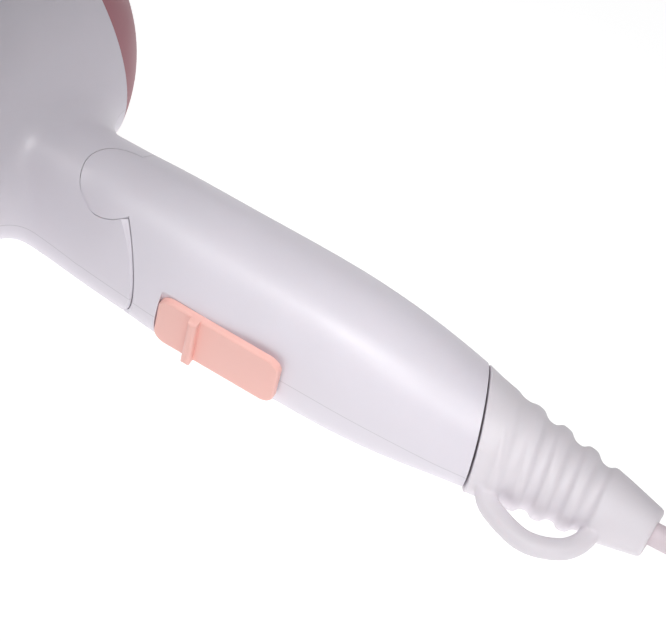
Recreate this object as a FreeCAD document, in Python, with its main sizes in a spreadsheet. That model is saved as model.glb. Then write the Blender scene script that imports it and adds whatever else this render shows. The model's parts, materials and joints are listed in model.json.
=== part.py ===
"""Folding travel hair dryer, lying on its right side (millimetres).

Three frames are used:
  design frame: origin on the hinge axis in the symmetry plane, +X to the nozzle, +Y to the
                dryer's left side, +Z from the handle up to the head
  barrel frame: origin at the rear rim's centre, +X along the barrel's axis
  cap frame:    origin at the rear rim's centre, +X square to the slanted rim, into the barrel
  part frame:   the object at rest on a table, +Z up, origin at the bottom centre of its box
"""
import FreeCAD, Part
import math
import os
import Sketcher
from FreeCAD import Placement, Rotation
from FreeCAD import Vector as V

DIMS = {
    # head
    "barrel_length": 108.0, "barrel_rear_r": 37.0, "barrel_front_r": 28.0, "shell_wall": 2.0,
    "barrel_back": 43.0, "barrel_rise": 50.65, "barrel_pitch": 4.4, "rim_pitch": 20.0,
    "cap_sphere": 44.1, "cap_wall": 1.8, "cap_slot_width": 1.6, "cap_skirt": 3.5,
    "collar_r": 25.0, "collar_length": 9.0, "collar_bore": 22.8,
    # neck and hinge
    "neck_blend": 9.0, "ear_r": 9.7, "ear_inside": 14.02, "cheek": 13.9, "cheek_wall": 2.0,
    "ball_r": 15.4, "hinge_gap": 0.12, "pin_r": 2.5, "pin_fit": 0.05, "mouth_angle": 47.0,
    "lens_long": 21.9, "lens_short": 18.35, "seam_gap": 0.05,
    # handle
    "handle_length": 100.5, "end_slant": 21.0, "handle_wall": 1.9, "mouth_wall": 0.6,
    "seat_x": 15.35, "seat_top": 22.1, "seat_end": 60.0,
    "post_r": 3.2, "post_cover": 0.7, "screw_r": 1.3, "screw_sink_r": 2.6,
    # switch
    "button_long": 33.3, "button_wide": 17.5, "button_thick": 1.8, "button_top": 22.3,
    "button_corner": 3.6, "rib_thick": 2.4, "rib_high": 2.1, "rib_down": 32.5, "rib_root": 0.9,
    "stem_long": 8.0, "stem_wide": 6.0, "stem_reach": 10.2, "slide_travel": 10.0,
    # cord guard and cord
    "guard_length": 48.5, "guard_bore": 3.6, "tip_bore": 5.1, "mouth_long": 12.0,
    "cord_r": 3.0,
    "loop_thick": 5.0, "loop_reach": 21.7,
    # air path and motor
    "case_r": 13.5, "case_length": 32.0, "case_start": 29.0, "shaft_r": 1.15, "shaft_fit": 0.03,
    "fan_r": 29.5, "fan_hub_r": 11.0, "fan_start": 13.0, "fan_deep": 13.0,
    "heater_r": 23.6, "heater_start": 68.0, "heater_end": 103.0, "mica_thick": 0.6,
    "coil_r": 22.3, "coil_wire": 0.6, "mesh_r": 31.3,
    # how the dryer rests on the table
    "tail_down": 6.5, "nozzle_down": 5.36,
    # coil and plug of the stored cord
    "coil_turn_r": 38.7, "coil_inside_r": 23.2, "coil_high": 18.2,
    "coil_across": 29.4, "coil_along": -64.8,
    "plug_long": 26.0, "plug_wide": 22.0, "plug_high": 15.0, "relief_long": 9.0,
    "blade_long": 15.0, "blade_wide": 6.3, "blade_thick": 1.5, "blade_apart": 12.7,
}

doc = FreeCAD.newDocument("TravelHairDryer")
sheet = doc.addObject("Spreadsheet::Sheet", "Dims")
for row, (name, number) in enumerate(DIMS.items(), start=1):
    sheet.set("A%d" % row, name)
    sheet.set("B%d" % row, str(number))
    sheet.setAlias("B%d" % row, name)
doc.recompute()

NODES = {}


# ---------------------------------------------------------------- helpers
def size(text):
    """Value of a sum of sheet names and plain numbers, such as 'case_r + 2 * shaft_fit'."""
    total = 0.0
    for term in text.replace(" - ", " + -").split(" + "):
        product = -1.0 if term.startswith("-") else 1.0
        for factor in term.lstrip("-").split(" * "):
            product *= sheet.get(factor) if factor in DIMS else float(factor)
        total += product
    return total


def formula(text):
    """The same sum written as a FreeCAD expression."""
    words = text.replace("-", "- ").split()
    return " ".join("Dims." + word if word in DIMS else word for word in words)


def bind(obj, **sizes):
    for prop, text in sizes.items():
        obj.setExpression(prop.replace("__", "."), formula(text))
    return obj


def put(obj, x="0", y="0", z="0", turn=None):
    """Place a primitive at a spot worked out from the sheet, turned by a Rotation."""
    if turn:
        obj.Placement = Placement(V(), turn)
    for axis, text in zip("xyz", (x, y, z)):
        obj.setExpression("Placement.Base." + axis, formula(text))
    return obj


def box(name, length, width, height, x="0", y="0", z="0"):
    return put(bind(doc.addObject("Part::Box", name), Length=length, Width=width, Height=height), x, y, z)


def rod(name, radius, height, x="0", y="0", z="0", turn=None):
    return put(bind(doc.addObject("Part::Cylinder", name), Radius=radius, Height=height), x, y, z, turn)


def cut(name, base, tool):
    result = doc.addObject("Part::Cut", name)
    result.Base, result.Tool = base, tool
    return result


def fuse(name, *pieces):
    result = doc.addObject("Part::MultiFuse", name)
    result.Shapes = list(pieces)
    return result


def common(name, *pieces):
    result = doc.addObject("Part::MultiCommon", name)
    result.Shapes = list(pieces)
    return result


def group(name, *pieces):
    """Identical loose pieces, such as screws, kept as separate solids of one node."""
    result = doc.addObject("Part::Compound", name)
    result.Links = list(pieces)
    return result


def freeform(name, shape):
    feature = doc.addObject("Part::Feature", name)
    feature.Shape = shape
    return feature


def turned(name, outline):
    """A PartDesign body turned about its X axis from corners (along, radius), as sheet sums."""
    body = doc.addObject("PartDesign::Body", name)
    doc.recompute()
    sketch = body.newObject("Sketcher::SketchObject", name + "_outline")
    plane = next(item for item in body.Origin.OriginFeatures if item.Role == "XZ_Plane")
    sketch.AttachmentSupport = [(plane, "")]
    sketch.MapMode = "FlatFace"
    spots = [V(size(along), size(radius), 0) for along, radius in outline]
    count = len(spots)
    for i in range(count):
        sketch.addGeometry(Part.LineSegment(spots[i], spots[(i + 1) % count]), False)
    for i in range(count):
        sketch.addConstraint(Sketcher.Constraint("Coincident", i, 2, (i + 1) % count, 1))
    for i, corner in enumerate(outline):
        for kind, text in zip(("DistanceX", "DistanceY"), corner):
            number = sketch.addConstraint(Sketcher.Constraint(kind, -1, 1, i, 1, size(text)))
            if any(name in text for name in DIMS):
                sketch.setExpression("Constraints[%d]" % number, formula(text))
    doc.recompute()
    turn = body.newObject("PartDesign::Revolution", name + "_turned")
    turn.Profile = sketch
    turn.ReferenceAxis = (sketch, ["H_Axis"])
    turn.Angle = 360.0
    doc.recompute()
    return body


ALONG_Y = Rotation(V(1, 0, 0), -90)
ALONG_X = Rotation(V(0, 1, 0), 90)
RIM_CENTRE = V(-size("barrel_back"), 0, size("barrel_rise"))
BARREL = Placement(RIM_CENTRE, Rotation(V(0, 1, 0), -size("barrel_pitch")))
CAP = Placement(RIM_CENTRE, Rotation(V(0, 1, 0), -size("rim_pitch")))
DESIGN = Placement()


def node(name, obj, frame=DESIGN):
    obj.Label = name
    NODES[name] = (obj, frame)


def prism(points, half=60.0):
    """A slab across the dryer, its outline given in the symmetry plane."""
    wire = Part.makePolygon([V(x, -half, z) for x, z in points + points[:1]])
    return Part.Face(wire).extrude(V(0, 2 * half, 0))


def turned_curve(stations, start, end):
    """Solid of revolution about Z through (depth, radius) stations below the hinge."""
    curve = Part.BSplineCurve()
    curve.interpolate([V(radius, 0, -depth) for depth, radius in stations])
    top, low = V(0, 0, -start), V(0, 0, -end)
    edges = [curve.toShape(), Part.makeLine(curve.EndPoint, low), Part.makeLine(low, top),
             Part.makeLine(top, curve.StartPoint)]
    return Part.Face(Part.Wire(edges)).revolve(V(), V(0, 0, 1), 360)


def halves(shape, left_name, right_name, frame=DESIGN):
    """The two shells of a moulding split in the symmetry plane."""
    room = 200.0
    left_side = Part.makeBox(2 * room, room, 2 * room, V(-room, 0, -room))
    right_side = Part.makeBox(2 * room, room, 2 * room, V(-room, -room, -room))
    node(left_name, freeform(left_name, shape.common(left_side)), frame)
    node(right_name, freeform(right_name, shape.common(right_side)), frame)


# ---------------------------------------------------------------- handle outline
# Depth below the hinge, half width at the front, half width at the sides and back, and how
# square the front is: 2 is an ellipse, more is flatter under the thumb.
HANDLE = [(-10, 14.8, 18.8, 2.0), (0, 15.5, 19.05, 2.0), (8, 16.15, 19.4, 2.0), (16, 16.85, 19.6, 2.0),
          (21, 17.2, 19.65, 2.05), (30, 16.9, 19.75, 2.15), (42, 15.8, 19.95, 2.35),
          (54, 14.95, 20.0, 2.5), (62, 14.85, 19.8, 2.55), (72, 14.75, 19.1, 2.5),
          (81, 14.4, 18.1, 2.4), (90, 13.9, 16.7, 2.2), (98, 13.3, 15.3, 2.0), (110, 12.0, 12.7, 2.0)]
MOUTH = math.radians(size("mouth_angle"))
BACK_SEAM = 0.2            # fall of the rear seam for each millimetre behind the hinge
SECTION_POINTS = 24


def section(height, front, back, power=2.0):
    """A level outline: half a circle at the back, half a squarish ellipse at the front."""
    points = []
    for i in range(SECTION_POINTS):
        angle = 2 * math.pi * (i + 0.5) / SECTION_POINTS
        c, s = math.cos(angle), math.sin(angle)
        radius = back
        if c > 0:
            radius = (abs(c / front) ** power + abs(s / back) ** power) ** (-1 / power)
        points.append(V(radius * c, radius * s, height))
    curve = Part.BSplineCurve()
    curve.interpolate(Points=points, PeriodicFlag=True)
    return Part.Wire(curve.toShape())


def wall_at(depth):
    """Wall thickness: thin at the mouth, full from 30 mm below the hinge."""
    if depth >= 30:
        return size("handle_wall")
    return size("mouth_wall")


def handle_solid(inset):
    """The handle's outline as a solid, drawn in by a wall that depends on the depth."""
    wires = [section(-depth, front - inset(depth), back - inset(depth), power)
             for depth, front, back, power in HANDLE]
    return Part.makeLoft(wires, True, False)


def beyond_end(extra):
    """Everything past the slanted end cut of the handle."""
    slab = Part.makeBox(120, 120, 120, V(-60, -60, -120))
    slab.rotate(V(), V(0, 1, 0), size("end_slant"))
    slab.translate(V(0, 0, -size("handle_length") - extra))
    return slab


def below_seams(gap):
    """The handle's side of the mouth seams, drawn back by a gap."""
    reach = 42.0
    front = V(math.sin(MOUTH), 0, -math.cos(MOUTH))
    back = V(-reach, 0, -BACK_SEAM * (reach - size("ear_r")))
    drop = V(-math.cos(MOUTH), 0, -math.sin(MOUTH)) * gap
    points = [(drop.x, drop.z), (front.x * reach + drop.x, front.z * reach + drop.z),
              (reach, -150), (-reach, -150), (back.x, back.z - gap), (-size("ear_r"), -gap)]
    return prism(points)


def above_seams(gap):
    """The neck's side of the mouth seams."""
    reach = 60.0
    front = V(math.sin(MOUTH), 0, -math.cos(MOUTH))
    rise = V(math.cos(MOUTH), 0, math.sin(MOUTH)) * gap
    points = [(rise.x, rise.z), (front.x * reach + rise.x, front.z * reach + rise.z),
              (reach, reach), (-reach, reach), (-reach, -BACK_SEAM * (reach - size("ear_r")) + gap),
              (-size("ear_r"), gap)]
    return prism(points)


def across(radius, start, end, x=0.0, z=0.0):
    return Part.makeCylinder(radius, end - start, V(x, start, z), V(0, 1, 0))


# ---------------------------------------------------------------- head shells
def barrel_solid(inset, extra=0.0):
    """Taper from the slanted rear rim to the nozzle end, drawn in and reaching past both ends."""
    rear = Part.makeCircle(size("barrel_rear_r") - inset, V(-extra, 0, 0), V(1, 0, 0))
    front = Part.makeCircle(size("barrel_front_r") - inset, V(size("barrel_length") + extra, 0, 0),
                            V(1, 0, 0))
    rear.Placement = CAP.multiply(rear.Placement)
    front.Placement = BARREL.multiply(front.Placement)
    return Part.makeLoft([Part.Wire(rear), Part.Wire(front)], True, True)


# Height above the hinge, half width at the front, half width at the sides and back.
NECK = [(-18, 16.9, 19.6), (-8, 16.1, 19.35), (0, 15.4, 19.05), (6, 14.7, 18.9), (12, 14.0, 18.8),
        (18, 13.6, 18.7), (42, 13.2, 18.5)]


def neck_solid(inset):
    return Part.makeLoft([section(height, front - inset, back - inset) for height, front, back in NECK],
                         True, False)


def hinge_lens():
    """Room that the handle's mouth leaves as it swings: an ellipse turned about the hinge."""
    rim = Part.Ellipse(V(), size("lens_long"), size("lens_short"))
    half = Part.Arc(rim, -math.pi / 2, math.pi / 2).toShape()
    axis = Part.makeLine(V(0, size("lens_short"), 0), V(0, -size("lens_short"), 0))
    return Part.Face(Part.Wire([half, axis])).revolve(V(), V(0, 1, 0), 360)


def never_swept():
    """Side of the neck that the folding handle doesn't reach."""
    reach = 80.0
    free = math.radians(size("mouth_angle") + 81)
    return prism([(0, 0), (reach * math.sin(free), -reach * math.cos(free)), (reach, reach),
                  (-reach, reach), (-reach, -30), (-size("ear_r"), -1)])


def blend_edges(shape):
    """The line along which neck and barrel meet."""
    found = []
    for edge in shape.Edges:
        middle = edge.valueAt((edge.FirstParameter + edge.LastParameter) / 2)
        box_of = edge.BoundBox
        if 9 < middle.z < 30 and abs(middle.x) < 22 and box_of.ZLength > 1.5 and box_of.ZMin > 9:
            found.append(edge)
    return found


def head_moulding():
    neck = neck_solid(0).common(hinge_lens().fuse(never_swept())).common(above_seams(size("seam_gap")))
    outer = barrel_solid(0).fuse(neck).removeSplitter()
    edges = blend_edges(outer)
    print("neck blend edges", len(edges))
    outer = outer.makeFillet(size("neck_blend"), edges)
    outer = outer.fuse(Part.makeSphere(size("ball_r")))
    skin = outer
    cheek, wide = size("cheek"), 40.0
    pocket_r = size("ear_r") + size("hinge_gap")
    outer = outer.cut(across(pocket_r, cheek, wide)).cut(across(pocket_r, -wide, -cheek))
    inside = cheek - size("cheek_wall")
    hollow = neck_solid(size("shell_wall")).common(prism([(-40, 4), (40, 4), (40, 60), (-40, 60)]))
    hollow = hollow.fuse(Part.makeSphere(size("ball_r") - size("shell_wall")))
    hollow = hollow.common(Part.makeBox(80, 2 * inside, 110, V(-40, -inside, -30)))
    outer = outer.cut(hollow.fuse(barrel_solid(size("shell_wall"), 1.0)))
    outer = outer.cut(across(size("pin_r"), -wide, wide))
    for x, z in HEAD_SCREWS:
        post = across(size("post_r"), -inside - 0.5, inside + 0.5, x, z).common(skin)
        outer = outer.fuse(post).cut(across(size("screw_r"), -inside, inside - 1.9, x, z))
        outer = outer.cut(across(size("screw_sink_r"), -wide, -inside + 1, x, z))
    return outer


HEAD_SCREWS = [(-8.5, 12.5), (6.5, 15.0)]
halves(head_moulding(), "head_shell_left", "head_shell_right")


def screws(name, spots, start, end):
    """Pan-head screws across the dryer, their heads on the right side."""
    pieces = []
    for i, (x, z) in enumerate(spots):
        shank = rod("%s_shank_%d" % (name, i), "screw_r", str(end - start), str(x), str(start), str(z), ALONG_Y)
        head = rod("%s_head_%d" % (name, i), "2.4", "1.6", str(x), str(start - 1.6), str(z), ALONG_Y)
        slot = box("%s_slot_%d" % (name, i), "3.4", "0.7", "0.6",
                   str(x - 1.7), str(start - 1.6), str(z - 0.3))
        pieces.append(cut("%s_%d" % (name, i), fuse("%s_solid_%d" % (name, i), shank, head), slot))
    node(name, group(name, *pieces))


screws("head_screws", HEAD_SCREWS, -10.9, 9.5)

# ---------------------------------------------------------------- parts in the barrel
# Rear cap: a shallow dome with a skirt that snaps into the shells, and air slots at the back.
dome_centre = math.sqrt(size("cap_sphere") ** 2 - size("barrel_rear_r") ** 2)
outer_ball = put(bind(doc.addObject("Part::Sphere", "dome_out"), Radius="cap_sphere"), str(dome_centre))
inner_ball = put(bind(doc.addObject("Part::Sphere", "dome_in"), Radius="cap_sphere - cap_wall"),
                 str(dome_centre))
dome_room = rod("dome_room", "barrel_rear_r + 1", "30", "-30", turn=ALONG_X)
dome = common("dome", cut("dome_shell", outer_ball, inner_ball), dome_room)
skirt = cut("skirt",
            rod("skirt_out", "barrel_rear_r - shell_wall - 2", "cap_skirt + 1.6", "-1.6", turn=ALONG_X),
            rod("skirt_in", "barrel_rear_r - shell_wall - 3.5", "cap_skirt + 3", "-2", turn=ALONG_X))
rim = cut("rim", rod("rim_out", "barrel_rear_r - 1.2", "1.6", "-1.6", turn=ALONG_X),
          rod("rim_in", "barrel_rear_r - shell_wall - 3.5", "3", "-2", turn=ALONG_X))
slots = []
for ring, (middle, half_long) in enumerate(((8.0, 3.0), (16.5, 3.6))):
    for i in range(12 + 12 * ring):
        angle = 30.0 / (1 + ring) * i
        slot = bind(doc.addObject("Part::Box", "air_slot_%d_%d" % (ring, i)), Width="cap_slot_width")
        slot.Length, slot.Height = 30, 2 * half_long
        turn = Rotation(V(1, 0, 0), angle)
        slot.Placement = Placement(turn.multVec(V(-40, -size("cap_slot_width") / 2, middle - half_long)), turn)
        slots.append(slot)
node("intake_cover", cut("cap", fuse("cap_solid", dome, skirt, rim), fuse("air_slots", *slots)), CAP)

MESH_PITCH, MESH_WIRE = 4.8, 0.8
mesh_parts = [cut("mesh_rim", rod("mesh_rim_out", "mesh_r", "1.2", "0.6", turn=ALONG_X),
                  rod("mesh_rim_in", "mesh_r - 1.8", "2", "0.2", turn=ALONG_X))]
for i in range(-6, 7):
    middle = MESH_PITCH * i
    half_long = math.sqrt((size("mesh_r") - 1) ** 2 - middle ** 2)
    edge, low, long = str(middle - MESH_WIRE / 2), str(-half_long), str(2 * half_long)
    mesh_parts.append(box("mesh_up_%d" % (i + 6), "0.6", str(MESH_WIRE), long, "0.9", edge, low))
    mesh_parts.append(box("mesh_side_%d" % (i + 6), "0.6", long, str(MESH_WIRE), "0.9", low, edge))
node("intake_mesh", fuse("mesh", *mesh_parts), CAP)

node("outlet_ring", turned("outlet_ring", [
    ("barrel_length - 3", "collar_bore"), ("barrel_length + collar_length", "collar_bore"),
    ("barrel_length + collar_length", "collar_r"), ("barrel_length", "collar_r"),
    ("barrel_length", "barrel_front_r - shell_wall"),
    ("barrel_length - 3", "barrel_front_r - shell_wall")]), BARREL)

grille = []
for i in range(4):
    radius = "collar_bore - %s" % (5.4 * i)
    ring = cut("grille_ring_%d" % i,
               rod("grille_out_%d" % i, radius, "1.6", "barrel_length + 1", turn=ALONG_X),
               rod("grille_in_%d" % i, radius + " - 1.1", "3", "barrel_length + 0.5", turn=ALONG_X))
    grille.append(ring)
for i in range(3):
    bar = bind(doc.addObject("Part::Box", "grille_bar_%d" % i), Width="2 * collar_bore - 0.4")
    bar.Length, bar.Height = 1.6, 1.2
    turn = Rotation(V(1, 0, 0), 60 * i)
    corner = V(size("barrel_length") + 1, 0.2 - size("collar_bore"), -0.6)
    bar.Placement = Placement(turn.multVec(corner), turn)
    grille.append(bar)
node("outlet_grille", fuse("grille", *grille), BARREL)

node("heater_tube", turned("heater_tube", [
    ("heater_start", "heater_r - 0.6"), ("heater_end", "heater_r - 0.6"),
    ("heater_end", "heater_r"), ("heater_start", "heater_r")]), BARREL)

mica_long, mica_half = "heater_end - heater_start - 4", "coil_r - coil_wire - 0.02"
board_flat = box("board_flat", mica_long, mica_half + " + " + mica_half, "mica_thick",
                 "heater_start + 2", "-1 * coil_r + coil_wire + 0.02", "-0.5 * mica_thick")
board_up = box("board_up", mica_long, "mica_thick", mica_half + " + " + mica_half,
               "heater_start + 2", "-0.5 * mica_thick", "-1 * coil_r + coil_wire + 0.02")
node("mica_frame", fuse("mica", board_flat, board_up), BARREL)

rings = []
for i in range(8):
    ring = bind(doc.addObject("Part::Torus", "winding_%d" % i), Radius1="coil_r", Radius2="coil_wire")
    rings.append(put(ring, "heater_start + %s" % (4.5 + 3.8 * i), turn=ALONG_X))
node("heating_coils", group("windings", *rings), BARREL)

node("thermostat", fuse("thermostat_solid",
                        box("thermostat_base", "11", "7", "1.4", "heater_start + 9", "4", "0.5 * mica_thick"),
                        rod("thermostat_cup", "3", "3.2", "heater_start + 14.5", "7.5", "0.5 * mica_thick + 1.4")),
     BARREL)
node("thermal_fuse", fuse("fuse_solid",
                          rod("fuse_body", "1.7", "9", "heater_start + 12", "-7", "0.5 * mica_thick + 1.7",
                              ALONG_X),
                          rod("fuse_wire", "0.4", "19", "heater_start + 7", "-7", "0.5 * mica_thick + 1.7",
                              ALONG_X)), BARREL)

node("motor_case", turned("motor_case", [
    ("case_start - 2", "shaft_r + shaft_fit"), ("case_start + case_length + 2", "shaft_r + shaft_fit"),
    ("case_start + case_length + 2", "4"), ("case_start + case_length", "4"),
    ("case_start + case_length", "case_r"), ("case_start", "case_r"), ("case_start", "4"),
    ("case_start - 2", "4")]), BARREL)

hub_ring = turned("stator_hub", [("case_start + 3", "case_r"), ("case_start + 17", "case_r"),
                                 ("case_start + 17", "case_r + 1.4"), ("case_start + 3", "case_r + 1.4")])
duct_ring = turned("stator_duct", [("case_start", "fan_r - 0.9"), ("case_start + 20", "fan_r - 2.7"),
                                   ("case_start + 20", "fan_r - 1.3"), ("case_start", "fan_r + 0.5")])
vanes = []
for i in range(7):
    turn = Rotation(V(1, 0, 0), 360.0 / 7 * i)
    vane = doc.addObject("Part::Box", "vane_%d" % i)
    vane.Length, vane.Width = 13.5, 1.2
    vane.Height = size("fan_r") - size("case_r") - 2.9
    vane.Placement = Placement(turn.multVec(V(size("case_start") + 3.2, -0.6, size("case_r") + 0.9)), turn)
    vanes.append(vane)
node("motor_mount", fuse("stator", hub_ring, duct_ring, *vanes), BARREL)

node("motor_shaft", turned("motor_shaft", [
    ("fan_start - 2", "0"), ("case_start + case_length + 4", "0"),
    ("case_start + case_length + 4", "shaft_r"), ("fan_start - 2", "shaft_r")]), BARREL)


def fan_shape():
    """Hub with nine twisted blades, each a loft from a steep root to a flatter tip."""
    start, deep = size("fan_start"), size("fan_deep")
    hub = Part.makeCylinder(size("fan_hub_r"), deep, V(start, 0, 0), V(1, 0, 0))
    hub = hub.makeFillet(3.0, [edge for edge in hub.Edges if abs(edge.BoundBox.XMax - start) < 0.01])
    blades = []
    for i in range(9):
        wires = []
        for radius, sweep in ((size("fan_hub_r") - 1, 3.0), (size("fan_r"), 6.5)):
            run = deep - 2
            corners = [V(start + 1, -sweep, radius), V(start + 1, -sweep + 1.4, radius),
                       V(start + 1 + run, sweep, radius), V(start + 1 + run, sweep - 1.4, radius)]
            wires.append(Part.makePolygon(corners + corners[:1]))
        blade = Part.makeLoft(wires, True, True)
        blade.rotate(V(), V(1, 0, 0), 40.0 * i)
        blades.append(blade)
    whole = hub.multiFuse(blades).common(Part.makeCylinder(size("fan_r"), 60, V(0, 0, 0), V(1, 0, 0)))
    return whole.cut(Part.makeCylinder(size("shaft_r"), 60, V(0, 0, 0), V(1, 0, 0)))


node("fan", freeform("fan_wheel", fan_shape()), BARREL)

# ---------------------------------------------------------------- hinge hardware
node("hinge_pin", rod("pin", "pin_r", "2 * cheek + 6", y="-1 * cheek - 3", turn=ALONG_Y))
washers = []
for i, side in enumerate((-1, 1)):
    start = str(side * (size("cheek") - size("cheek_wall") - 0.5) - 0.5)
    washers.append(cut("washer_%d" % i, rod("washer_out_%d" % i, "6", "1", y=start, turn=ALONG_Y),
                       rod("washer_in_%d" % i, "pin_r", "2", y=start, turn=ALONG_Y)))
node("hinge_washers", group("washers", *washers))

# ---------------------------------------------------------------- handle shells
HANDLE_SCREWS = [(-9.0, -42.0), (-8.0, -82.0)]


def handle_moulding():
    outer = handle_solid(lambda depth: 0.0)
    inner = handle_solid(wall_at)
    seat, top, end = size("seat_x"), size("seat_top"), size("seat_end")
    pocket = prism([(seat, -top), (40, -top), (40, -end), (seat, -end)])
    floor = seat - size("handle_wall")
    under = prism([(floor, -top + 6), (40, -top + 6), (40, -end - 4), (floor, -end - 4)])
    under = under.cut(across(size("lens_long") + 0.3, -40, 40))
    body = outer.cut(pocket).common(below_seams(size("seam_gap"))).cut(inner.cut(under))
    body = body.cut(Part.makeSphere(size("ball_r") + 0.35))
    near, wide = size("ear_inside"), 30.0
    for start, stop in ((near, wide), (-wide, -near)):
        body = body.fuse(across(size("ear_r"), start, stop).common(outer))
    body = body.cut(across(size("pin_r") + size("pin_fit"), -near - 3.1, near + 3.1))
    slot_top = size("button_top") + 12.5
    slot_long = size("stem_long") + size("slide_travel") + 1
    slot_wide = size("stem_wide") + 1
    body = body.cut(Part.makeBox(12, slot_wide, slot_long, V(9, -slot_wide / 2, -slot_top - slot_long)))
    post_room = handle_solid(lambda depth: size("post_cover"))
    for x, z in HANDLE_SCREWS:
        post = across(size("post_r"), -wide, wide, x, z).common(post_room)
        body = body.fuse(post).cut(across(size("screw_r"), -13, 9, x, z))
        body = body.cut(across(size("screw_sink_r"), -wide, -10.4, x, z))
    collar_room = Part.makeCylinder(10.2, 12, V(0, 0, -size("handle_length") - 6))
    return body.cut(beyond_end(0)).cut(collar_room)


halves(handle_moulding(), "handle_shell_left", "handle_shell_right")
screws("handle_screws", HANDLE_SCREWS, -10.4, 8.8)

# ---------------------------------------------------------------- slide switch
def button_shape():
    """Plate with round corners, a rounded finger ridge across it and a stem into the handle."""
    long, wide, thick = size("button_long"), size("button_wide"), size("button_thick")
    base = V(size("seat_x") + size("pin_fit"), -wide / 2, -size("button_top") - long)
    plate = Part.makeBox(thick, wide, long, base)
    corners = [edge for edge in plate.Edges if edge.BoundBox.YLength + edge.BoundBox.ZLength < 0.01]
    plate = plate.makeFillet(size("button_corner"), corners)
    front = base.x + thick
    lip = [edge for edge in plate.Edges if abs(edge.BoundBox.XMin - front) < 0.01]
    plate = plate.makeFillet(0.6, lip)
    rib_wide, rib_thick, root = wide + 0.3, size("rib_thick"), size("rib_root")
    rib = Part.makeBox(size("rib_high") + root, rib_wide, rib_thick,
                       V(front - root, -rib_wide / 2, -size("rib_down") - rib_thick / 2))
    crest = [edge for edge in rib.Edges if edge.BoundBox.XMin > front]
    rib = rib.makeFillet(0.9, crest)
    inner_end = size("stem_reach")
    stem = Part.makeBox(base.x + 0.2 - inner_end, size("stem_wide"), size("stem_long"),
                        V(inner_end, -size("stem_wide") / 2, -size("button_top") - 13 - size("stem_long")))
    return plate.fuse([rib, stem])


node("switch_button", freeform("button", button_shape()))
node("contact_carriage", box("carriage", "2.3", "10", "stem_long + 4", "stem_reach - 2.3", "-5",
                             "-1 * button_top - 15 - stem_long"))
housing = cut("housing_tray", box("housing_block", "7.8", "15", "38", "-0.4", "-7.5", "-65"),
              box("housing_room", "5", "11.4", "33", "3.6", "-5.7", "-62.5"))
node("switch_housing", housing)
strips = [box("strip_%d" % i, "4", "2", "24", "3.6", str(-4.6 + 3.6 * i), "-58") for i in range(3)]
node("switch_contacts", group("strips", *strips))
node("diode_board", fuse("board", box("board_plate", "1.2", "12", "24", "-3.4", "-6", "-64"),
                         rod("diode_can", "1.4", "6", "-4.4", "0", "-58")))

# ---------------------------------------------------------------- cord guard and inner cord
lead_y = 3.2
leads = [rod("lead_%d" % i, "1.2", "19.5", "3", str(side * lead_y), "-84.5") for i, side in enumerate((-1, 1))]
node("inner_leads", group("leads", *leads))
node("inner_cord", rod("inner_cord_rod", "cord_r", "guard_length + handle_length - mouth_long - 86",
                       z="-1 * guard_length - handle_length + mouth_long"))
saddle = cut("saddle", box("saddle_block", "8", "17", "6", "-4", "-8.5", "-95"),
             rod("saddle_bore", "cord_r", "10", z="-97"))
node("cord_clamp", saddle)


GUARD = [(92.0, 16.2), (96.0, 15.6), (100.0, 14.6), (104.0, 13.8), (110.0, 13.1), (116.0, 12.3),
         (123.0, 11.2), (130.0, 10.2), (138.0, 8.7), (149.0, 6.2)]
GROOVE_PITCH, GROOVE_WIDE, GROOVE_DEEP = 7.2, 2.6, 1.4
GROOVES = [(10.6, 0.5), (17.4, 1.0), (24.6, 1.0), (31.8, 1.0)]    # below the end cut, share of the depth


def leaning_ring(down, wide, deep):
    """Ring-shaped groove cutter that leans like the handle's end, less so towards the tip."""
    lean = size("end_slant") * max(0.0, 1 - down / (size("guard_length") - 4))
    middle = V(0, 0, -size("handle_length") - down)
    slab = Part.makeCylinder(30, wide, V(0, 0, -wide / 2))
    slab.rotate(V(), V(0, 1, 0), lean)
    slab.translate(middle)
    return slab.cut(turned_curve([(depth, radius - deep) for depth, radius in GUARD],
                                 GUARD[0][0], GUARD[-1][0]))


def guard_shape():
    """Cone that carries on the handle's outline, with leaning grooves and a hanging loop."""
    sleeve = turned_curve(GUARD, GUARD[0][0], GUARD[-1][0]).common(beyond_end(0.5))
    for down, share in GROOVES:
        sleeve = sleeve.cut(leaning_ring(down, GROOVE_WIDE * share, GROOVE_DEEP * share))
    tenon = Part.makeCylinder(9.9, 8, V(0, 0, -size("handle_length") - 3))
    foot = V(0, 0, -GUARD[-1][0])
    sleeve = sleeve.fuse([tenon, loop_shape()])
    bore = Part.makeCylinder(size("guard_bore"), 80, foot - V(0, 0, 1))
    mouth = Part.makeCone(size("tip_bore"), size("guard_bore"), size("mouth_long"), foot)
    return sleeve.cut(bore).cut(mouth)


def loop_shape():
    """Hanging loop: a square band bent in a D in front of the guard."""
    top, low = -size("handle_length") - 10.5, -size("handle_length") - 36.0
    reach = size("loop_reach") - size("loop_thick") / 2
    spots = [V(8.6, 0, top), V(15.2, 0, top - 3.0), V(reach, 0, (top + low) / 2 - 1), V(14.8, 0, low + 1.0),
             V(6.0, 0, low - 0.6)]
    curve = Part.BSplineCurve()
    curve.interpolate(spots)
    path = Part.Wire(curve.toShape())
    half = size("loop_thick") / 2
    along = curve.tangent(curve.FirstParameter)[0]
    side = V(0, 1, 0)
    out = along.cross(side)
    signs = ((1, 1), (-1, 1), (-1, -1), (1, -1))
    corners = [spots[0] + side * (half * a) + out * (half * b) for a, b in signs]
    band = Part.Wire(Part.makePolygon(corners + corners[:1]))
    return path.makePipeShell([band], True, True)


node("cord_guard", freeform("guard", guard_shape()))

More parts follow.
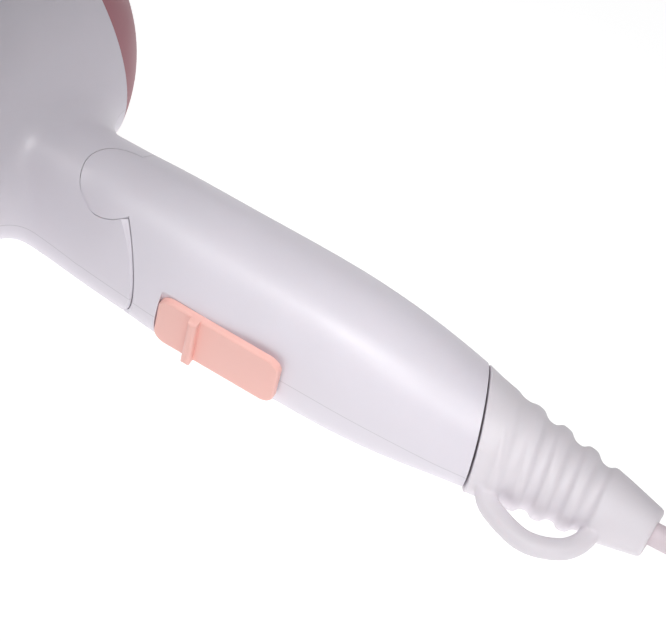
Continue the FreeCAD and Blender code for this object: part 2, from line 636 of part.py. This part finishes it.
# ---------------------------------------------------------------- rest on the table
UPRIGHT_TO_LYING = Rotation(V(-1, 0, 0), V(0, 0, 1), V(0, 1, 0))
lean = Rotation(V(1, 0, 0), size("tail_down")).multiply(Rotation(V(0, 1, 0), -size("nozzle_down")))
TURN = lean.multiply(UPRIGHT_TO_LYING)
doc.recompute()

low, high = V(1e9, 1e9, 1e9), V(-1e9, -1e9, -1e9)
for obj, frame in NODES.values():
    shape = obj.Shape.copy()
    shape.Placement = Placement(V(), TURN).multiply(frame).multiply(shape.Placement)
    bounds = shape.optimalBoundingBox(False)
    low = V(min(low.x, bounds.XMin), min(low.y, bounds.YMin), min(low.z, bounds.ZMin))
    high = V(max(high.x, bounds.XMax), max(high.y, bounds.YMax), max(high.z, bounds.ZMax))
LYING = Placement(V(-(low.x + high.x) / 2, -(low.y + high.y) / 2, -low.z), TURN)
print("rest shift", LYING.Base, "size", high - low)
for obj, frame in NODES.values():
    own = obj.Placement.copy()
    for path, text in obj.ExpressionEngine:
        if "Placement" in path:
            obj.setExpression(path, None)
    obj.Placement = LYING.multiply(frame).multiply(own)

# ---------------------------------------------------------------- free cord, coil and plug
# The route starts where the inner cord ends. Its further points are offsets from the guard's
# tip, with heights above the table: down to the table and into the coil, then out to the plug.
OVERALL = size("guard_length + handle_length")
TIP = LYING.multVec(V(0, 0, -OVERALL))
EXIT = LYING.multVec(V(0, 0, size("mouth_long") - OVERALL))
AHEAD = LYING.multVec(V(0, 0, -OVERALL - 1.5))
TO_COIL = [(1.7, -14.8, 8.6), (-1.0, -28.8, 5.4), (-5.4, -42.3, 3.2), (-8.5, -55.3, 3.05), (-9.2, -67.8, 3.1)]
TO_PLUG = [(-8.0, -74.8, 15.1), (-2.0, -87.4, 15.0), (7.2, -99.2, 13.0), (18.6, -109.4, 7.6),
           (31.9, -115.8, 7.6)]


def from_tip(offsets):
    return [V(TIP.x + across_x, TIP.y + along_y, height) for across_x, along_y, height in offsets]


def cord_tube(name, spots):
    """Straight runs joined by tangent arcs, each arc as large as its two runs allow."""
    edges, start, radii = [], spots[0], []
    for before, corner, after in zip(spots, spots[1:], spots[2:]):
        back, ahead = before - corner, after - corner
        turn = math.pi - back.getAngle(ahead)
        trim = 0.45 * min(back.Length, ahead.Length)
        radii.append(trim / math.tan(turn / 2))
        first = corner + back.normalize() * trim
        last = corner + ahead.normalize() * trim
        bisector = (back + ahead).normalize()
        centre_distance = math.hypot(trim, radii[-1])
        middle = corner + bisector * (centre_distance - radii[-1])
        edges += [Part.LineSegment(start, first).toShape(), Part.Arc(first, middle, last).toShape()]
        start = last
    edges.append(Part.LineSegment(start, spots[-1]).toShape())
    path = Part.Wire(edges)
    ring = Part.makeCircle(size("cord_r"), spots[0], spots[1] - spots[0])
    tube = path.makePipeShell([Part.Wire(ring)], True, True)
    expected = math.pi * size("cord_r") ** 2 * path.Length
    print(name, "radii", [round(radius) for radius in radii], "length %.1f" % path.Length,
          "volume ratio %.4f" % (tube.Volume / expected))
    return tube


def coil_solid():
    """Outer shape of the wound turns."""
    outside = size("coil_turn_r") + size("cord_r")
    ring = Part.makeCylinder(outside, size("coil_high"))
    ring = ring.cut(Part.makeCylinder(size("coil_inside_r"), size("coil_high")))
    ring = ring.makeFillet(size("cord_r") - 0.2, ring.Edges)
    ring.translate(V(TIP.x + size("coil_across"), TIP.y + size("coil_along"), 0))
    return ring


def plug_body_shape():
    """Two-pin plug body with a stepped strain relief, its cord end at the origin, along +X."""
    wide, high = size("plug_wide"), size("plug_high")
    start = size("relief_long")
    body = Part.makeBox(size("plug_long"), wide, high, V(start, -wide / 2, -high / 2))
    body = body.makeFillet(3.5, [edge for edge in body.Edges if edge.BoundBox.XLength > 1])
    body = body.makeFillet(2.5, [edge for edge in body.Edges if edge.BoundBox.XMax < start + 0.01])
    relief = Part.makeCone(4.0, 4.6, start + 1, V(), V(1, 0, 0))
    for i in range(3):
        groove = Part.makeCylinder(8, 1.1, V(1.8 + 2.5 * i, 0, 0), V(1, 0, 0))
        relief = relief.cut(groove.cut(Part.makeCylinder(3.6, 1.1, V(1.8 + 2.5 * i, 0, 0), V(1, 0, 0))))
    return body.fuse(relief)


def plug_blades():
    start = size("relief_long") + size("plug_long")
    blades = []
    for side in (-1, 1):
        blade = Part.makeBox(size("blade_long"), size("blade_thick"), size("blade_wide"),
                             V(start, side * size("blade_apart") / 2 - size("blade_thick") / 2,
                               -size("blade_wide") / 2))
        tip = [edge for edge in blade.Edges if edge.BoundBox.XMin > start + 1 and edge.BoundBox.YLength > 1]
        blades.append(blade.makeFillet(1.2, tip))
    return Part.makeCompound(blades)


cord = cord_tube("cord", [EXIT, AHEAD] + from_tip(TO_COIL))
plug_route = from_tip(TO_PLUG)
plug_lead = cord_tube("plug_lead", plug_route)
coil = coil_solid().cut([cord, plug_lead])
PLUG = Placement(plug_route[-1], Rotation(V(1, 0, 0), plug_route[-1] - plug_route[-2]))
for name, shape, frame in (("cord", cord, DESIGN), ("plug_lead", plug_lead, DESIGN),
                           ("cord_coil", coil, DESIGN), ("plug_body", plug_body_shape(), PLUG),
                           ("plug_pins", plug_blades(), PLUG)):
    node(name, freeform(name + "_shape", shape))
    NODES[name][0].Placement = frame

# ---------------------------------------------------------------- check and export
doc.recompute()
for obj in doc.Objects:
    bad = [state for state in obj.State if state in ("Invalid", "Error")]
    if bad:
        raise RuntimeError("%s is %s" % (obj.Name, bad))
os.makedirs("parts", exist_ok=True)
for name, (obj, _) in NODES.items():
    if obj.Shape.isNull() or not obj.Shape.isValid():
        raise RuntimeError(name + " has no valid shape")
    obj.Shape.exportStep("parts/%s.step" % name)
print(len(NODES), "nodes written")
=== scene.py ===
"""Looks of the folding travel hair dryer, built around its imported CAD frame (metres)."""

import json
import math

import bmesh
import bpy
from mathutils import Matrix, Vector


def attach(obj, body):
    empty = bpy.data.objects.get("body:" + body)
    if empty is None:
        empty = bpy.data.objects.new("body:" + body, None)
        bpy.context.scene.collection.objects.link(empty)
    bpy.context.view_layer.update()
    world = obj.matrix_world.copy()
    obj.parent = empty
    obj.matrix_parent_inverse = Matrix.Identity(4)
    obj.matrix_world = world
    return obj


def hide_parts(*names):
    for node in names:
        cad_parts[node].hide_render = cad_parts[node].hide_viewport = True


MM = 0.001

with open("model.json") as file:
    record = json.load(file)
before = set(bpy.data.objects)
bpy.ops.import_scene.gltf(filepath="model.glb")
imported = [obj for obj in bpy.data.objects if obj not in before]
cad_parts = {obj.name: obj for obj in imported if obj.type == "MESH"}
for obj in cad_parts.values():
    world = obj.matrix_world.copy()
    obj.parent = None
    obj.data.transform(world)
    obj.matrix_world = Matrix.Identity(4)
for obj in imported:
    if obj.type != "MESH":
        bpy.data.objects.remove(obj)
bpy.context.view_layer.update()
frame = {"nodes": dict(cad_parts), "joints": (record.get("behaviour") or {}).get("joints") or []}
NODE = frame["nodes"]
JOINT = {joint["name"]: joint for joint in frame["joints"]}

# The dryer's own directions, read from its joints: the fold turns about the side axis and the
# switch slides towards the tail.
HINGE = Vector(JOINT["handle_fold"]["pos_m"])
SIDE = -Vector(JOINT["handle_fold"]["axis"]).normalized()
TAIL = Vector(JOINT["switch_slide"]["axis"]).normalized()
FRONT = SIDE.cross(-TAIL).normalized()

# Sizes in millimetres and degrees.
HANDLE_LONG = 100.5
END_SLANT = 21.0
GUARD_LONG = 48.5
TIP_MOUTH = 12.0
CORD_R = 3.0

# Light: the floor's and the world's strength, the lamps in watts and their spread in degrees.
FLOOR_GLOW = 0.92
WORLD_LIGHT = 0.125
KEY_POWER = 0.053
LOW_POWER = 0.030
LAMP_SPREAD = 36


def spot(front, side, below):
    """A point given in millimetres from the hinge: towards the nozzle, the side and the tail."""
    return HINGE + (FRONT * front + SIDE * side + TAIL * below) * MM


# ------------------------------------------------------------------ materials
def new_material(name):
    material = bpy.data.materials.new(name)
    material.use_nodes = True
    nodes, links = material.node_tree.nodes, material.node_tree.links
    return material, nodes, links, nodes["Principled BSDF"]


def noise(nodes, links, scale, detail=3.0, stretch=None):
    """Object-space noise: scale is features for each metre."""
    place = nodes.new("ShaderNodeTexCoord")
    texture = nodes.new("ShaderNodeTexNoise")
    texture.inputs["Scale"].default_value = scale
    texture.inputs["Detail"].default_value = detail
    if stretch:
        mapping = nodes.new("ShaderNodeMapping")
        mapping.inputs["Scale"].default_value = stretch
        links.new(place.outputs["Object"], mapping.inputs["Vector"])
        links.new(mapping.outputs["Vector"], texture.inputs["Vector"])
    else:
        links.new(place.outputs["Object"], texture.inputs["Vector"])
    return texture


def ramp(nodes, links, source, low, high):
    """Spread the middle of a 0 to 1 signal between two colours or grey levels."""
    spread = nodes.new("ShaderNodeValToRGB")
    for element, position, colour in zip(spread.color_ramp.elements, (0.35, 0.65), (low, high)):
        element.position = position
        element.color = colour
    links.new(source, spread.inputs["Fac"])
    return spread.outputs["Color"]


def grey(level):
    return (level, level, level, 1)


def scaled(colour, factor):
    return tuple(min(1.0, channel * factor) for channel in colour[:3]) + (1,)


def parting_line(nodes, links, shade):
    """Shade of a hairline where two shells meet in the symmetry plane, and 1 away from it."""
    place = nodes.new("ShaderNodeTexCoord")
    offset = nodes.new("ShaderNodeVectorMath")
    offset.operation = "SUBTRACT"
    offset.inputs[1].default_value = HINGE
    links.new(place.outputs["Object"], offset.inputs[0])
    across = nodes.new("ShaderNodeVectorMath")
    across.operation = "DOT_PRODUCT"
    across.inputs[1].default_value = SIDE
    links.new(offset.outputs[0], across.inputs[0])
    distance = nodes.new("ShaderNodeMath")
    distance.operation = "ABSOLUTE"
    links.new(across.outputs["Value"], distance.inputs[0])
    line = nodes.new("ShaderNodeMapRange")
    line.inputs["From Min"].default_value = 0.05 * MM
    line.inputs["From Max"].default_value = 0.16 * MM
    line.inputs["To Min"].default_value = shade
    line.inputs["To Max"].default_value = 1.0
    links.new(distance.outputs[0], line.inputs["Value"])
    return line.outputs["Result"]


def relief(nodes, links, shader, texture, strength, deep):
    """Fine surface relief from a texture, its depth in metres."""
    bump = nodes.new("ShaderNodeBump")
    bump.inputs["Strength"].default_value = strength
    bump.inputs["Distance"].default_value = deep
    links.new(texture.outputs["Fac"], bump.inputs["Height"])
    links.new(bump.outputs["Normal"], shader.inputs["Normal"])


def plastic(name, colour, roughness, coat=0.0, subsurface=0.0, grain=0.02, wear=0.06, parting=None):
    """Moulded plastic: faint flow clouding, fine surface grain and a little handling haze."""
    material, nodes, links, shader = new_material(name)
    cloud = noise(nodes, links, 28, 4)
    tint = ramp(nodes, links, cloud.outputs["Fac"], scaled(colour, 0.975), scaled(colour, 1.015))
    if parting:
        darken = nodes.new("ShaderNodeMix")
        darken.data_type = "RGBA"
        darken.blend_type = "MULTIPLY"
        darken.inputs["Factor"].default_value = 1.0
        links.new(tint, darken.inputs["A"])
        links.new(parting_line(nodes, links, parting), darken.inputs["B"])
        tint = darken.outputs["Result"]
    links.new(tint, shader.inputs["Base Color"])
    haze = noise(nodes, links, 55, 6)
    sheen = ramp(nodes, links, haze.outputs["Fac"], grey(roughness - wear / 2), grey(roughness + wear))
    links.new(sheen, shader.inputs["Roughness"])
    relief(nodes, links, shader, noise(nodes, links, 1400, 2), grain, 0.2 * MM)
    shader.inputs["IOR"].default_value = 1.5
    if coat:
        shader.inputs["Coat Weight"].default_value = coat
        shader.inputs["Coat Roughness"].default_value = 0.12
    if subsurface:
        shader.inputs["Subsurface Weight"].default_value = subsurface
        shader.inputs["Subsurface Radius"].default_value = (1.0, 0.8, 0.75)
        shader.inputs["Subsurface Scale"].default_value = 0.0015
    return material


def metal(name, colour, roughness, brushed=(1, 1, 1)):
    """Bare metal with fine drawn or turned streaks."""
    material, nodes, links, shader = new_material(name)
    shader.inputs["Metallic"].default_value = 1.0
    streaks = noise(nodes, links, 900, 3, brushed)
    links.new(ramp(nodes, links, streaks.outputs["Fac"], scaled(colour, 0.82), scaled(colour, 1.05)),
              shader.inputs["Base Color"])
    links.new(ramp(nodes, links, streaks.outputs["Fac"], grey(roughness), grey(roughness + 0.15)),
              shader.inputs["Roughness"])
    relief(nodes, links, shader, streaks, 0.08, 0.1 * MM)
    return material


SHELL_COLOUR = (0.800, 0.757, 0.826)
HANDLE = plastic("handle_gloss_white", SHELL_COLOUR, 0.42, coat=0.08, subsurface=0.10, parting=0.72)
HEAD = plastic("head_gloss_white", SHELL_COLOUR, 0.40, coat=0.08, subsurface=0.08, parting=0.72)
CAP = plastic("cap_dusty_pink", (0.48, 0.20, 0.235), 0.45, subsurface=0.05)
CAP.node_tree.nodes["Principled BSDF"].inputs["Specular IOR Level"].default_value = 0.2
SWITCH = plastic("switch_salmon", (0.97, 0.55, 0.49), 0.45, subsurface=0.12, grain=0.05)
GUARD = plastic("guard_satin_white", (0.79, 0.745, 0.79), 0.45, subsurface=0.12, grain=0.06)
CORD = plastic("cord_pinkish_grey", (0.74, 0.645, 0.685), 0.46, subsurface=0.06, grain=0.08)
COLLAR = plastic("collar_warm_grey", (0.42, 0.40, 0.44), 0.30, coat=0.2)
DARK = plastic("heatproof_black", (0.030, 0.030, 0.033), 0.45, grain=0.12)
FAN = plastic("fan_charcoal", (0.045, 0.045, 0.050), 0.36, grain=0.06)
NYLON = plastic("clamp_nylon", (0.70, 0.68, 0.62), 0.50, subsurface=0.1, grain=0.10)
BOARD = plastic("circuit_board", (0.035, 0.16, 0.09), 0.35, grain=0.15)
LEAD = plastic("lead_red", (0.45, 0.035, 0.03), 0.42, grain=0.05)
MICA = plastic("mica_sheet", (0.50, 0.42, 0.27), 0.38, grain=0.45, wear=0.2)
STEEL = metal("screw_steel", (0.62, 0.62, 0.64), 0.22)
MOTOR = metal("motor_case_steel", (0.58, 0.58, 0.60), 0.26, (1, 8, 8))
NICHROME = metal("nichrome_wire", (0.34, 0.30, 0.28), 0.34)
BRASS = metal("contact_brass", (0.78, 0.57, 0.26), 0.22, (8, 1, 1))
GRILLE = metal("grille_black_steel", (0.05, 0.05, 0.055), 0.38)

FINISH = {
    HEAD: ["head_shell_left", "head_shell_right"],
    HANDLE: ["handle_shell_left", "handle_shell_right"],
    CAP: ["intake_cover"],
    SWITCH: ["switch_button"],
    CORD: ["cord", "plug_lead", "cord_coil", "inner_cord", "plug_body"],
    COLLAR: ["outlet_ring"],
    GRILLE: ["outlet_grille", "intake_mesh"],
    MICA: ["heater_tube", "mica_frame"],
    NICHROME: ["heating_coils"],
    MOTOR: ["motor_case", "thermostat"],
    DARK: ["motor_mount", "switch_housing", "contact_carriage"],
    FAN: ["fan"],
    STEEL: ["motor_shaft", "head_screws", "handle_screws", "hinge_pin", "hinge_washers"],
    BRASS: ["switch_contacts", "plug_pins"],
    BOARD: ["diode_board"],
    LEAD: ["inner_leads"],
    NYLON: ["cord_clamp", "thermal_fuse"],
}


def smooth(mesh, angle=30):
    """Smooth shading with the sharp edges kept sharp."""
    mesh.shade_smooth()
    mesh.set_sharp_from_angle(angle=math.radians(angle))


def paint(obj, material):
    obj.data.materials.clear()
    obj.data.materials.append(material)


for material, names in FINISH.items():
    for name in names:
        paint(NODE[name], material)
        smooth(NODE[name].data)


# ------------------------------------------------------------------ cord guard
GUARD_RADII = [(92, 16.2), (96, 15.6), (100, 14.6), (104, 13.8), (110, 13.1), (116, 12.3),
               (123, 11.2), (130, 10.2), (138, 8.7), (149, 6.2)]        # below the hinge, radius
GROOVES = [(10.6, 0.45), (17.4, 1.0), (24.6, 1.0), (31.8, 1.0)]         # below the handle's end, share
GROOVE_HALF, GROOVE_DEEP = 1.9, 1.35
ROUND = 96                                                              # vertices round the guard
RINGS = 120                                                             # steps along its outside
END_GAP = 0.55                                                          # to the handle's end
BORE_R = 3.6
LOOP_HALF = 2.5


def ease(value, start, end):
    share = min(1.0, max(0.0, (value - start) / (end - start)))
    return share * share * (3 - 2 * share)


def guard_radius(depth):
    """Radius at a distance below the hinge, straight between the stations."""
    for (above, wide), (below, slim) in zip(GUARD_RADII, GUARD_RADII[1:]):
        if depth <= below:
            return wide + (slim - wide) * max(0.0, depth - above) / (below - above)
    return GUARD_RADII[-1][1]


def groove_cut(down):
    """Depth of the soft grooves at a distance below the end cut."""
    total = 0.0
    for middle, share in GROOVES:
        total += share * GROOVE_DEEP * math.exp(-((down - middle) / GROOVE_HALF) ** 4)
    return total


def guard_ring(down, angle, cut=True):
    """A point of the sleeve: rings lean like the handle's end, less so towards the tip."""
    lean = math.tan(math.radians(END_SLANT)) * max(0.0, 1 - down / (GUARD_LONG - 4))
    level = HANDLE_LONG + down
    radius = guard_radius(level) - (groove_cut(down) if cut else 0.0)
    for _ in range(3):                      # the leaning ring meets the cone at its own depth
        depth = level + lean * radius * math.cos(angle)
        radius = guard_radius(depth) - (groove_cut(down) if cut else 0.0)
    return radius * math.cos(angle), radius * math.sin(angle), depth


def lathe(bm, rows):
    """Closed skin through rows of points, each row a full ring."""
    rings = [[bm.verts.new(spot(*point)) for point in row] for row in rows]
    for ring, following in zip(rings, rings[1:] + rings[:1]):
        for i in range(ROUND):
            k = (i + 1) % ROUND
            bm.faces.new((ring[i], ring[k], following[k], following[i]))


def sleeve(bm):
    angles = [2 * math.pi * i / ROUND for i in range(ROUND)]
    rim = 0.8
    downs = [END_GAP + (GUARD_LONG - END_GAP - rim) * i / RINGS for i in range(RINGS + 1)]
    rows = [[guard_ring(down, angle) for angle in angles] for down in downs]
    tip = HANDLE_LONG + GUARD_LONG
    inner = [(6.1, tip - 0.35), (5.7, tip - 0.05), (5.2, tip), (4.75, tip - 0.5), (3.7, tip - TIP_MOUTH),
             (BORE_R, tip - 16), (BORE_R, HANDLE_LONG + 9)]
    for radius, depth in inner:
        rows.append([(radius * math.cos(a), radius * math.sin(a), depth) for a in angles])
    lean = math.tan(math.radians(END_SLANT))
    for radius in (9.0, 14.2):
        rows.append([(radius * math.cos(a), radius * math.sin(a),
                      HANDLE_LONG + END_GAP + lean * radius * math.cos(a)) for a in angles])
    lathe(bm, rows)


def band(bm, path, half_widths, segments=16, squareness=0.72):
    """A rounded square bar along a path of points in the dryer's own directions."""
    points = [Vector(point) for point in path]
    rings = []
    for i, point in enumerate(points):
        before, after = points[max(0, i - 1)], points[min(len(points) - 1, i + 1)]
        along = (after - before).normalized()
        side = Vector((0, 1, 0)) - along * along.y
        side.normalize()
        out = along.cross(side)
        ring = []
        for k in range(segments):
            angle = 2 * math.pi * (k + 0.5) / segments
            c, s = math.cos(angle), math.sin(angle)
            swell = (abs(c) ** (2 / squareness) + abs(s) ** (2 / squareness)) ** (-squareness / 2)
            ring.append(bm.verts.new(spot(*(point + (side * c + out * s) * half_widths[i] * swell))))
        rings.append(ring)
    for ring, following in zip(rings, rings[1:]):
        for k in range(segments):
            m = (k + 1) % segments
            bm.faces.new((ring[k], following[k], following[m], ring[m]))
    bm.faces.new(rings[0])
    bm.faces.new(list(reversed(rings[-1])))


def smooth_path(spots, steps):
    """Points along a Catmull-Rom curve through the given spots."""
    ends = [2 * Vector(spots[0]) - Vector(spots[1])] + [Vector(p) for p in spots]
    ends.append(2 * Vector(spots[-1]) - Vector(spots[-2]))
    path = []
    for a, b, c, d in zip(ends, ends[1:], ends[2:], ends[3:]):
        for i in range(steps):
            u = i / steps
            path.append(0.5 * (2 * b + (c - a) * u + (2 * a - 5 * b + 4 * c - d) * u * u
                               + (3 * b - a - 3 * c + d) * u ** 3))
    path.append(Vector(spots[-1]))
    return path


def hanging_loop(bm):
    """D-shaped loop in front of the guard."""
    top = HANDLE_LONG + 9.6
    low = HANDLE_LONG + 36.3
    reach = 19.1
    path = smooth_path([(8.6, 0, top - 1.0), (12.6, 0, top + 0.4), (16.2, 0, top + 4.2),
                        (reach, 0, (top + low) / 2 + 0.4), (16.6, 0, low - 5.0), (12.2, 0, low - 1.2),
                        (6.0, 0, low)], 8)
    band(bm, path, [LOOP_HALF] * len(path))


def shoulder_ridges(bm):
    """The loop's head end runs on round the guard as a ridge that fades out at the sides."""
    steps = 24
    for way in (-1, 1):
        path, widths = [], []
        for i in range(steps + 1):
            share = i / steps
            angle = way * math.radians(4 + 112 * share)
            down = 6.6 - 0.8 * share
            front, side, depth = guard_ring(down, angle, cut=False)
            width = 2.45 * (1 - share) + 0.25
            radius = math.hypot(front, side)
            factor = (radius - width * 0.45 - 0.5) / radius             # sunk into the guard
            path.append((front * factor, side * factor, depth))
            widths.append(width)
        band(bm, path, widths, squareness=0.95)


def cord_guard():
    bm = bmesh.new()
    sleeve(bm)
    hanging_loop(bm)
    shoulder_ridges(bm)
    bmesh.ops.recalc_face_normals(bm, faces=bm.faces)
    mesh = bpy.data.meshes.new("cord_guard_skin")
    bm.to_mesh(mesh)
    bm.free()
    guard = bpy.data.objects.new("cord_guard_skin", mesh)
    bpy.context.scene.collection.objects.link(guard)
    remesh = guard.modifiers.new("join", "REMESH")
    remesh.mode = "VOXEL"
    remesh.voxel_size = 0.34 * MM
    soften = guard.modifiers.new("soften", "SMOOTH")
    soften.factor = 0.5
    soften.iterations = 7
    bpy.context.view_layer.update()
    done = bpy.data.meshes.new_from_object(guard.evaluated_get(bpy.context.evaluated_depsgraph_get()))
    guard.modifiers.clear()
    guard.data = done
    done.shade_smooth()
    paint(guard, GUARD)
    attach(guard, "handle")
    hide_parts("cord_guard")
    return guard


# ------------------------------------------------------------------ cord
TIP = spot(0, 0, HANDLE_LONG + GUARD_LONG) / MM
EXIT = spot(0, 0, HANDLE_LONG + GUARD_LONG - TIP_MOUTH) / MM
AHEAD = spot(0, 0, HANDLE_LONG + GUARD_LONG + 1.5) / MM
# Offsets from the guard's tip, with heights above the table.
TO_COIL = [(1.7, -14.8, 8.6), (-1.0, -28.8, 5.4), (-5.4, -42.3, 3.2), (-8.5, -55.3, 3.05)]
TO_PLUG = [(-2.0, -87.4, 15.0), (7.2, -99.2, 13.0), (18.6, -109.4, 7.6), (31.9, -115.8, 7.6)]


def from_tip(offsets):
    return [(TIP.x + across, TIP.y + along, height) for across, along, height in offsets]


def coil_turns():
    """Eight turns, three side by side, wound in, out and in again, a diameter apart."""
    centre_x = TIP.x + 29.4
    centre_y = TIP.y - 64.8
    outer = 38.7
    step = 6.1
    layer = 6.05
    points_each_turn = 16
    last = 8 * 360 + 15
    spread = 80                                             # degrees that a change of turn takes
    moves = [(300, -1), (660, -1), (1380, 1), (1740, 1), (2100, -1), (2500, 1)]    # degrees, way
    rises = [970, 2050]
    swell = 1 / math.cos(math.pi / points_each_turn)        # the spline runs inside its points
    count = round(last / 360 * points_each_turn)
    points = []
    for i in range(1, count + 1):
        along = last * i / count
        radius = outer + sum(way * step * ease(along, start, start + spread) for start, way in moves)
        height = 3.05 + sum(layer * ease(along, start, start + spread) for start in rises)
        angle = math.radians(180 + along)
        points.append((centre_x + radius * swell * math.cos(angle),
                       centre_y + radius * swell * math.sin(angle), height))
    return points


def free_cord(guard):
    """1.8 m of lead: out of the guard, down to the table, a stored coil and the plug's lead."""
    points = [EXIT, AHEAD] + from_tip(TO_COIL) + coil_turns() + from_tip(TO_PLUG)
    curve = bpy.data.curves.new("cord_line", "CURVE")
    curve.dimensions = "3D"
    curve.bevel_depth = CORD_R * MM
    curve.bevel_resolution = 5
    curve.resolution_u = 6
    curve.use_fill_caps = True
    spline = curve.splines.new("NURBS")
    spline.points.add(len(points) - 1)
    for target, point in zip(spline.points, points):
        target.co = (point[0] * MM, point[1] * MM, point[2] * MM, 1)
    spline.order_u = 3
    spline.use_endpoint_u = True
    cord = bpy.data.objects.new("power_cord", curve)
    bpy.context.scene.collection.objects.link(cord)
    curve.materials.append(CORD)
    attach(cord, "handle")
    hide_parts("cord", "cord_coil", "plug_lead")


free_cord(cord_guard())


# ------------------------------------------------------------------ stage, light and camera
def camera():
    """Long lens, a little towards the nozzle and the tail from straight above the left side."""
    distance = 0.70
    width_seen = 0.1598
    towards = (SIDE * 0.838 + FRONT * 0.523 + TAIL * 0.156).normalized()
    run = (TAIL - towards * TAIL.dot(towards)).normalized()
    across = towards.cross(run)
    roll = math.radians(30)
    right = run * math.cos(roll) + across * math.sin(roll)
    up = across * math.cos(roll) - run * math.sin(roll)
    data = bpy.data.cameras.new("camera")
    data.sensor_width = 36
    data.lens = data.sensor_width * distance / width_seen
    data.clip_end = 10
    lens = bpy.data.objects.new("camera", data)
    bpy.context.scene.collection.objects.link(lens)
    place = Matrix((right, up, towards)).transposed().to_4x4()
    place.translation = spot(-7.0, 0, 57.6) + towards * distance
    lens.matrix_world = place
    bpy.context.scene.camera = lens


def softbox(name, below, way, size, power):
    """An area light in metres that faces a spot on the handle, so far below the hinge."""
    data = bpy.data.lights.new(name, "AREA")
    data.shape = "SQUARE"
    data.size = size
    data.spread = math.radians(LAMP_SPREAD)
    data.energy = power
    light = bpy.data.objects.new(name, data)
    bpy.context.scene.collection.objects.link(light)
    light.location = spot(0, 0, below) + way
    light.rotation_mode = "QUATERNION"
    light.rotation_quaternion = way.to_track_quat("Z", "Y")


def stage():
    bpy.ops.mesh.primitive_plane_add(size=6, location=(0, 0, -0.0001))
    floor = bpy.context.object
    floor.name = "floor"
    surface = plastic("floor_white", (0.34, 0.34, 0.342), 0.6, grain=0.0)
    shader = surface.node_tree.nodes["Principled BSDF"]
    shader.inputs["Emission Color"].default_value = (1.0, 1.0, 1.0, 1)
    shader.inputs["Emission Strength"].default_value = FLOOR_GLOW
    paint(floor, surface)
    world = bpy.data.worlds.new("studio")
    world.use_nodes = True
    world.node_tree.nodes["Background"].inputs["Color"].default_value = (0.96, 0.96, 1.0, 1)
    world.node_tree.nodes["Background"].inputs["Strength"].default_value = WORLD_LIGHT
    bpy.context.scene.world = world
    softbox("key", 46, FRONT * 0.04 + SIDE * 0.28, 0.16, KEY_POWER)
    softbox("low", 116, FRONT * 0.18 + SIDE * 0.25 + TAIL * 0.06, 0.16, LOW_POWER)
    softbox("far", 225, TAIL * 0.04 + SIDE * 0.28, 0.12, LOW_POWER)
    bpy.context.scene.view_settings.view_transform = "Standard"


camera()
stage()
